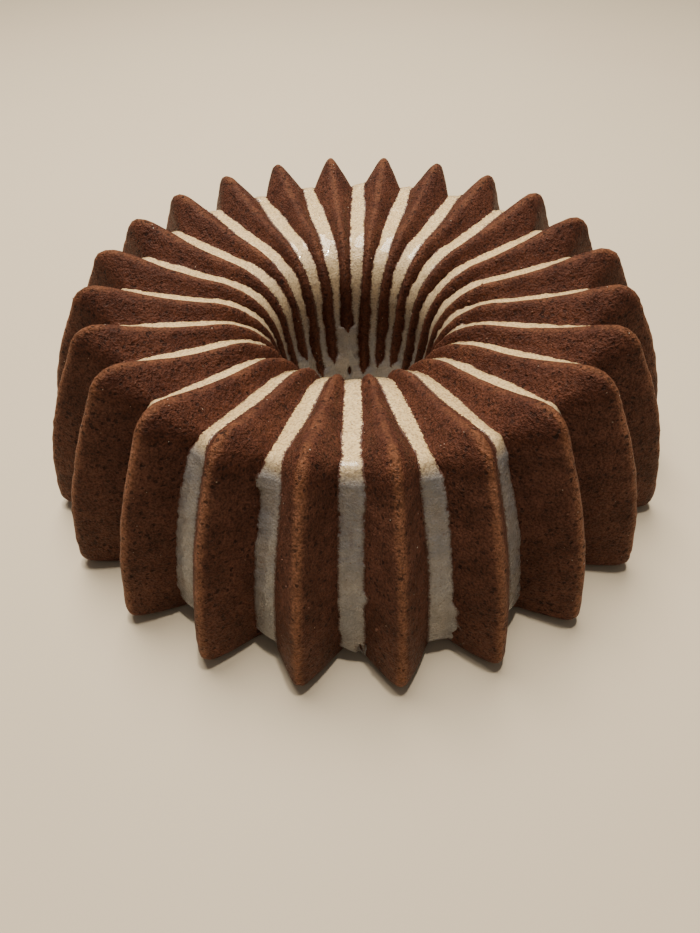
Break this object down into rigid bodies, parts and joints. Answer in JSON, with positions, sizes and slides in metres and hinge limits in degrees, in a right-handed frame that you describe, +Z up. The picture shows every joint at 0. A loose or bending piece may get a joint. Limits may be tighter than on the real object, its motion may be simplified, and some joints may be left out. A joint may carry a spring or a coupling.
{
  "type": "bundt cake",
  "caption": "Whole fluted ring cake with sharp upright fins round its wall and top, a tapered hole through the middle and a flat underside.",
  "frame": {"origin": "centre of the bounding box's base, on the axis of the hole, at the height of the flat face that the cake stands on", "axes": "+Z up along the axis of the hole; a groove between two fins faces -Y"},
  "size_m": [0.2492, 0.2492, 0.0751],
  "materials": {
    "crust": null
  },
  "bodies": {
    "root": {"cake": "crust"}
  },
  "joints": []
}
